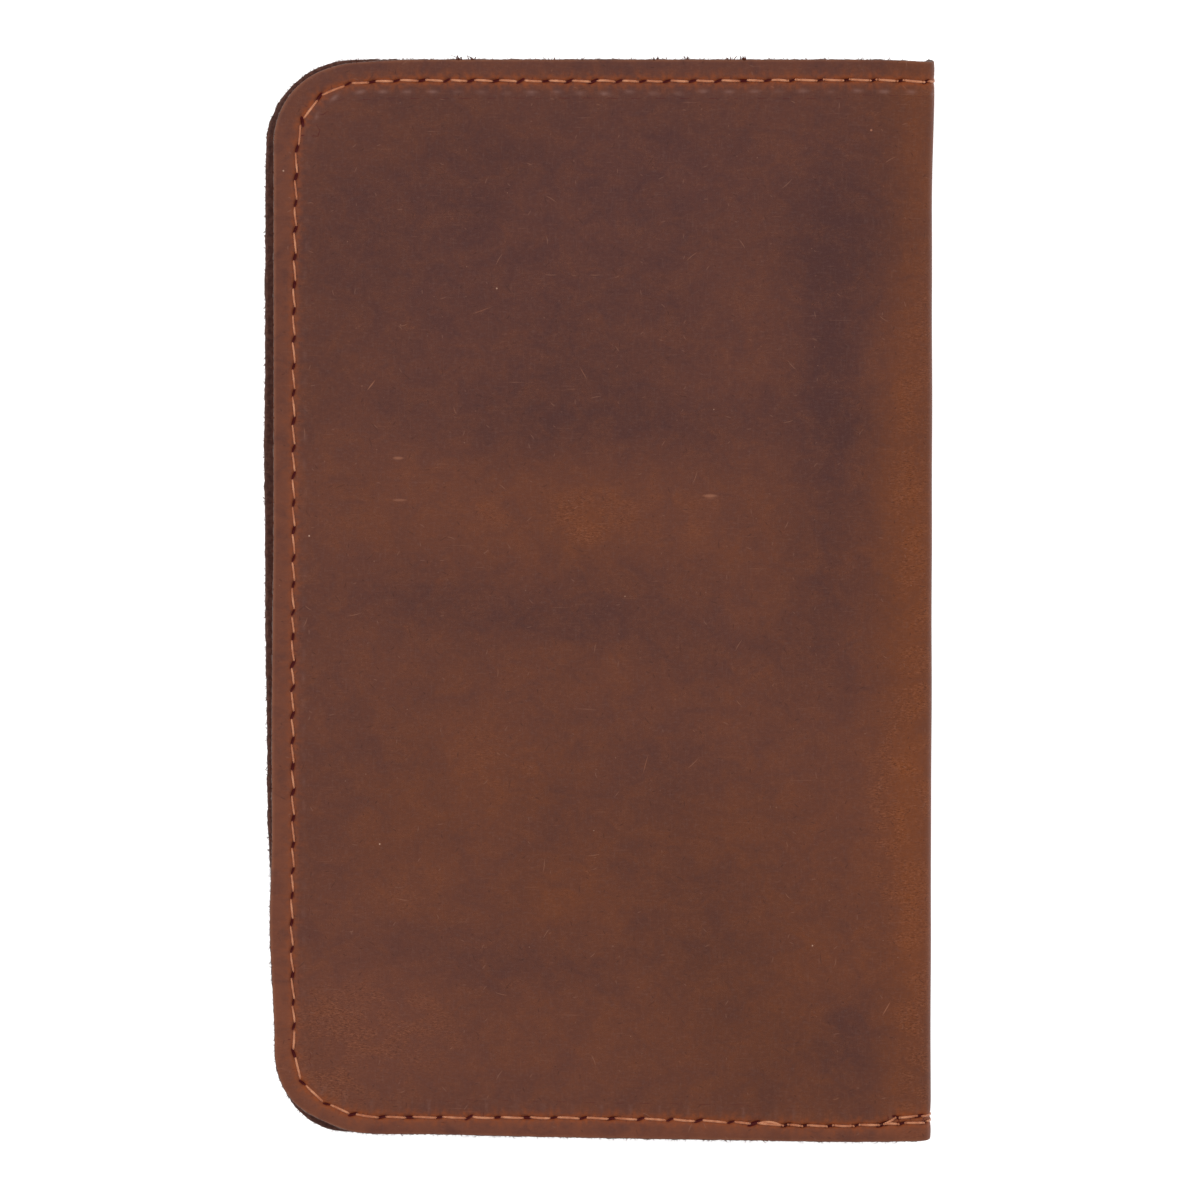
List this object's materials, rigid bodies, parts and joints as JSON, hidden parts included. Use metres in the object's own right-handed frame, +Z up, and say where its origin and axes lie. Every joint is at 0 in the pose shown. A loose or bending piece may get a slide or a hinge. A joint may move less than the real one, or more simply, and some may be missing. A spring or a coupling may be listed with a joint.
{
  "type": "leather notebook cover",
  "caption": "Closed leather cover for a slim notebook: one sheet folded round a spine, an inner sleeve sewn inside each cover, and a seam round the edge.",
  "frame": {"origin": "centre of the closed cover's footprint, on the surface it lies on", "axes": "+X from the fore edge towards the spine, +Y along the spine from foot to head, +Z up through the closed cover; the front cover lies underneath and the back cover is on top"},
  "size_m": [0.139, 0.224, 0.013],
  "materials": {
    "leather": "waxed pull-up leather, satin, with a rubbed bloom and fine scratches",
    "sleeve_leather": "the same leather, split thinner, grain side towards the notebook",
    "thread": "waxed three-strand thread, light orange tan"
  },
  "bodies": {
    "front_cover": {"front_cover_leather": "leather", "front_sleeve": "sleeve_leather", "front_needle_thread": "thread", "front_bobbin_thread": "thread"},
    "spine_front_half": {"spine_front_leather": "leather", "spine_front_needle_thread": "thread", "spine_front_bobbin_thread": "thread"},
    "spine_back_half": {"spine_back_leather": "leather", "spine_back_needle_thread": "thread", "spine_back_bobbin_thread": "thread"},
    "back_cover": {"back_cover_leather": "leather", "back_sleeve": "sleeve_leather", "back_needle_thread": "thread", "back_bobbin_thread": "thread"}
  },
  "joints": [
    {"name": "front_fold", "type": "hinge", "parent": "front_cover", "child": "spine_front_half", "pos_m": [0.06625, 0, 0.00087], "axis": [0, 1, 0], "range_deg": [0, 60]},
    {"name": "middle_fold", "type": "hinge", "parent": "spine_front_half", "child": "spine_back_half", "pos_m": [0.0695, 0, 0.0065], "axis": [0, 1, 0], "range_deg": [0, 60]},
    {"name": "back_fold", "type": "hinge", "parent": "spine_back_half", "child": "back_cover", "pos_m": [0.06625, 0, 0.01213], "axis": [0, 1, 0], "range_deg": [0, 60]}
  ],
  "couplings": [
    {"joint": "middle_fold", "follows": "front_fold", "ratio": 1},
    {"joint": "back_fold", "follows": "front_fold", "ratio": 1}
  ]
}
